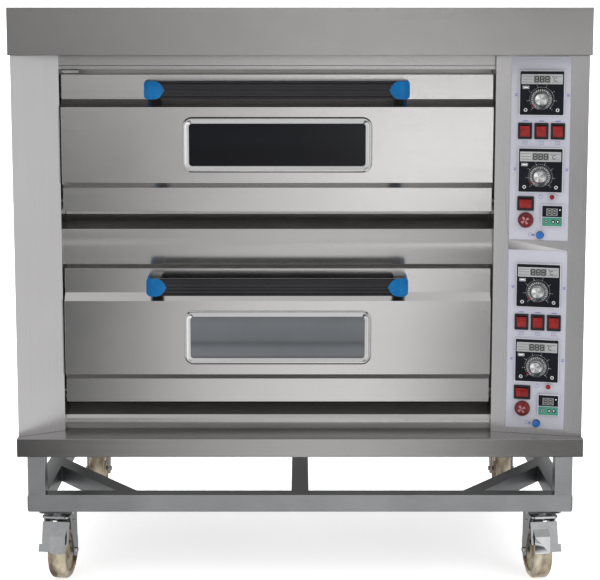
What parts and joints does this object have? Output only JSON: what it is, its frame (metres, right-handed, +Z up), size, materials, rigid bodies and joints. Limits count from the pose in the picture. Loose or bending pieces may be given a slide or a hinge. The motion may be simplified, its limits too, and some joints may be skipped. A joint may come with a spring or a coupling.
{
  "type": "deck oven",
  "caption": "Two-deck electric bakery oven: bottom-hinged glazed doors, control column with dials and rockers, shelf and tube stand on braked swivel casters.",
  "frame": {"origin": "on the floor, under the middle of the oven's width and depth", "axes": "+Z up; -Y out of the front, where the doors and the controls are; +X to the operator's right"},
  "size_m": [1.23, 0.85, 1.255],
  "materials": {
    "stand_steel": "satin",
    "casing_steel": "horizontal brushed",
    "inner_steel": "dull rolled",
    "insulation_wool": "loose mineral wool",
    "seal_braid": "braided glass fibre",
    "deck_plate": "seasoned plate",
    "heating_rod": "oxidised",
    "lamp_glass": "clear",
    "zinc": "bright zinc plate",
    "panel_white": "satin",
    "black_plastic": "fine texture",
    "signal_red": "gloss",
    "electrical_grey": "matt",
    "window_steel": "polished",
    "pane_glass": "tinted",
    "handle_blue": "gloss",
    "dial_metal": "turned",
    "button_blue": "gloss",
    "wheel_nylon": "worn nylon"
  },
  "bodies": {
    "cabinet": {"stand_lower_frame": "stand_steel", "stand_upper_frame": "stand_steel", "base_shelf": "casing_steel", "left_casing": "casing_steel", "right_casing": "casing_steel", "back_panel": "casing_steel", "hood": "casing_steel", "fascias": "casing_steel", "chamber_upper": "inner_steel", "chamber_lower": "inner_steel", "insulation": "insulation_wool", "door_seals": "seal_braid", "baking_decks": "deck_plate", "heating_elements": "heating_rod", "chamber_lamps": "lamp_glass", "hinge_bushes": "zinc", "control_plates": "panel_white", "thermostats": "black_plastic", "switch_housings": "black_plastic", "timers": "panel_white", "indicator_lamps": "signal_red", "electrical_gear": "electrical_grey", "rear_fittings": "zinc", "caster_heads": "zinc"},
    "door_upper": {"door_upper_skin": "casing_steel", "door_upper_liner": "inner_steel", "door_upper_window_frame": "window_steel", "door_upper_glass": "pane_glass", "door_upper_handle_bar": "black_plastic", "door_upper_handle_ends": "handle_blue"},
    "door_lower": {"door_lower_skin": "casing_steel", "door_lower_liner": "inner_steel", "door_lower_window_frame": "window_steel", "door_lower_glass": "pane_glass", "door_lower_handle_bar": "black_plastic", "door_lower_handle_ends": "handle_blue"},
    "dial_upper_top": {"dial_upper_top": "dial_metal"},
    "dial_upper_bottom": {"dial_upper_bottom": "dial_metal"},
    "rocker_upper_left": {"rocker_upper_left": "signal_red"},
    "rocker_upper_middle": {"rocker_upper_middle": "signal_red"},
    "rocker_upper_right": {"rocker_upper_right": "signal_red"},
    "rocker_upper_main": {"rocker_upper_main": "signal_red"},
    "push_button_upper": {"push_button_upper": "button_blue"},
    "dial_lower_top": {"dial_lower_top": "dial_metal"},
    "dial_lower_bottom": {"dial_lower_bottom": "dial_metal"},
    "rocker_lower_left": {"rocker_lower_left": "signal_red"},
    "rocker_lower_middle": {"rocker_lower_middle": "signal_red"},
    "rocker_lower_right": {"rocker_lower_right": "signal_red"},
    "rocker_lower_main": {"rocker_lower_main": "signal_red"},
    "push_button_lower": {"push_button_lower": "button_blue"},
    "caster_fork_front_left": {"caster_fork_front_left": "zinc"},
    "caster_wheel_front_left": {"caster_wheel_front_left": "wheel_nylon"},
    "brake_pedal_left": {"brake_pedal_left": "zinc"},
    "caster_fork_rear_left": {"caster_fork_rear_left": "zinc"},
    "caster_wheel_rear_left": {"caster_wheel_rear_left": "wheel_nylon"},
    "caster_fork_front_right": {"caster_fork_front_right": "zinc"},
    "caster_wheel_front_right": {"caster_wheel_front_right": "wheel_nylon"},
    "brake_pedal_right": {"brake_pedal_right": "zinc"},
    "caster_fork_rear_right": {"caster_fork_rear_right": "zinc"},
    "caster_wheel_rear_right": {"caster_wheel_rear_right": "wheel_nylon"}
  },
  "joints": [
    {"name": "door_upper_hinge", "type": "hinge", "parent": "cabinet", "child": "door_upper", "pos_m": [-0.049, -0.311, 0.839], "axis": [1, 0, 0], "range_deg": [0, 90]},
    {"name": "door_lower_hinge", "type": "hinge", "parent": "cabinet", "child": "door_lower", "pos_m": [-0.049, -0.311, 0.417], "axis": [1, 0, 0], "range_deg": [0, 90]},
    {"name": "dial_upper_top_turn", "type": "hinge", "parent": "cabinet", "child": "dial_upper_top", "pos_m": [0.51556, -0.38055, 1.062], "axis": [0.2614, 0.9652, 0], "range_deg": [0, 290]},
    {"name": "dial_upper_bottom_turn", "type": "hinge", "parent": "cabinet", "child": "dial_upper_bottom", "pos_m": [0.51556, -0.38055, 0.897], "axis": [0.2614, 0.9652, 0], "range_deg": [0, 290]},
    {"name": "rocker_upper_left_tilt", "type": "hinge", "parent": "cabinet", "child": "rocker_upper_left", "pos_m": [0.48374, -0.36416, 0.994], "axis": [-0.9652, 0.2614, 0], "range_deg": [0, 20]},
    {"name": "rocker_upper_middle_tilt", "type": "hinge", "parent": "cabinet", "child": "rocker_upper_middle", "pos_m": [0.51753, -0.37331, 0.994], "axis": [-0.9652, 0.2614, 0], "range_deg": [0, 20]},
    {"name": "rocker_upper_right_tilt", "type": "hinge", "parent": "cabinet", "child": "rocker_upper_right", "pos_m": [0.55131, -0.38246, 0.994], "axis": [-0.9652, 0.2614, 0], "range_deg": [0, 20]},
    {"name": "rocker_upper_main_tilt", "type": "hinge", "parent": "cabinet", "child": "rocker_upper_main", "pos_m": [0.4876, -0.36521, 0.838], "axis": [-0.9652, 0.2614, 0], "range_deg": [0, 20]},
    {"name": "push_button_upper_press", "type": "slide", "parent": "cabinet", "child": "push_button_upper", "axis": [0.2614, 0.9652, 0], "range_m": [0, 0.003], "stiffness_N_per_m": 400},
    {"name": "dial_lower_top_turn", "type": "hinge", "parent": "cabinet", "child": "dial_lower_top", "pos_m": [0.51556, -0.38055, 0.647], "axis": [0.2614, 0.9652, 0], "range_deg": [0, 290]},
    {"name": "dial_lower_bottom_turn", "type": "hinge", "parent": "cabinet", "child": "dial_lower_bottom", "pos_m": [0.51556, -0.38055, 0.482], "axis": [0.2614, 0.9652, 0], "range_deg": [0, 290]},
    {"name": "rocker_lower_left_tilt", "type": "hinge", "parent": "cabinet", "child": "rocker_lower_left", "pos_m": [0.48374, -0.36416, 0.579], "axis": [-0.9652, 0.2614, 0], "range_deg": [0, 20]},
    {"name": "rocker_lower_middle_tilt", "type": "hinge", "parent": "cabinet", "child": "rocker_lower_middle", "pos_m": [0.51753, -0.37331, 0.579], "axis": [-0.9652, 0.2614, 0], "range_deg": [0, 20]},
    {"name": "rocker_lower_right_tilt", "type": "hinge", "parent": "cabinet", "child": "rocker_lower_right", "pos_m": [0.55131, -0.38246, 0.579], "axis": [-0.9652, 0.2614, 0], "range_deg": [0, 20]},
    {"name": "rocker_lower_main_tilt", "type": "hinge", "parent": "cabinet", "child": "rocker_lower_main", "pos_m": [0.4876, -0.36521, 0.423], "axis": [-0.9652, 0.2614, 0], "range_deg": [0, 20]},
    {"name": "push_button_lower_press", "type": "slide", "parent": "cabinet", "child": "push_button_lower", "axis": [0.2614, 0.9652, 0], "range_m": [0, 0.003], "stiffness_N_per_m": 400},
    {"name": "caster_front_left_swivel", "type": "hinge", "parent": "cabinet", "child": "caster_fork_front_left", "pos_m": [-0.533, -0.386, 0.153], "axis": [0, 0, 1], "continuous": true},
    {"name": "caster_front_left_roll", "type": "hinge", "parent": "caster_fork_front_left", "child": "caster_wheel_front_left", "pos_m": [-0.52827, -0.35233, 0.0625], "axis": [0.9903, -0.1392, 0], "continuous": true},
    {"name": "brake_pedal_left_lift", "type": "hinge", "parent": "caster_fork_front_left", "child": "brake_pedal_left", "pos_m": [-0.53022, -0.36619, 0.134], "axis": [-0.9903, 0.1392, 0], "range_deg": [0, 8]},
    {"name": "caster_rear_left_swivel", "type": "hinge", "parent": "cabinet", "child": "caster_fork_rear_left", "pos_m": [-0.533, 0.386, 0.153], "axis": [0, 0, 1], "continuous": true},
    {"name": "caster_rear_left_roll", "type": "hinge", "parent": "caster_fork_rear_left", "child": "caster_wheel_rear_left", "pos_m": [-0.533, 0.352, 0.0625], "axis": [-1, 0, 0], "continuous": true},
    {"name": "caster_front_right_swivel", "type": "hinge", "parent": "cabinet", "child": "caster_fork_front_right", "pos_m": [0.533, -0.386, 0.153], "axis": [0, 0, 1], "continuous": true},
    {"name": "caster_front_right_roll", "type": "hinge", "parent": "caster_fork_front_right", "child": "caster_wheel_front_right", "pos_m": [0.52827, -0.35233, 0.0625], "axis": [0.9903, 0.1392, 0], "continuous": true},
    {"name": "brake_pedal_right_lift", "type": "hinge", "parent": "caster_fork_front_right", "child": "brake_pedal_right", "pos_m": [0.53022, -0.36619, 0.134], "axis": [-0.9903, -0.1392, 0], "range_deg": [0, 8]},
    {"name": "caster_rear_right_swivel", "type": "hinge", "parent": "cabinet", "child": "caster_fork_rear_right", "pos_m": [0.533, 0.386, 0.153], "axis": [0, 0, 1], "continuous": true},
    {"name": "caster_rear_right_roll", "type": "hinge", "parent": "caster_fork_rear_right", "child": "caster_wheel_rear_right", "pos_m": [0.533, 0.352, 0.0625], "axis": [-1, 0, 0], "continuous": true}
  ]
}
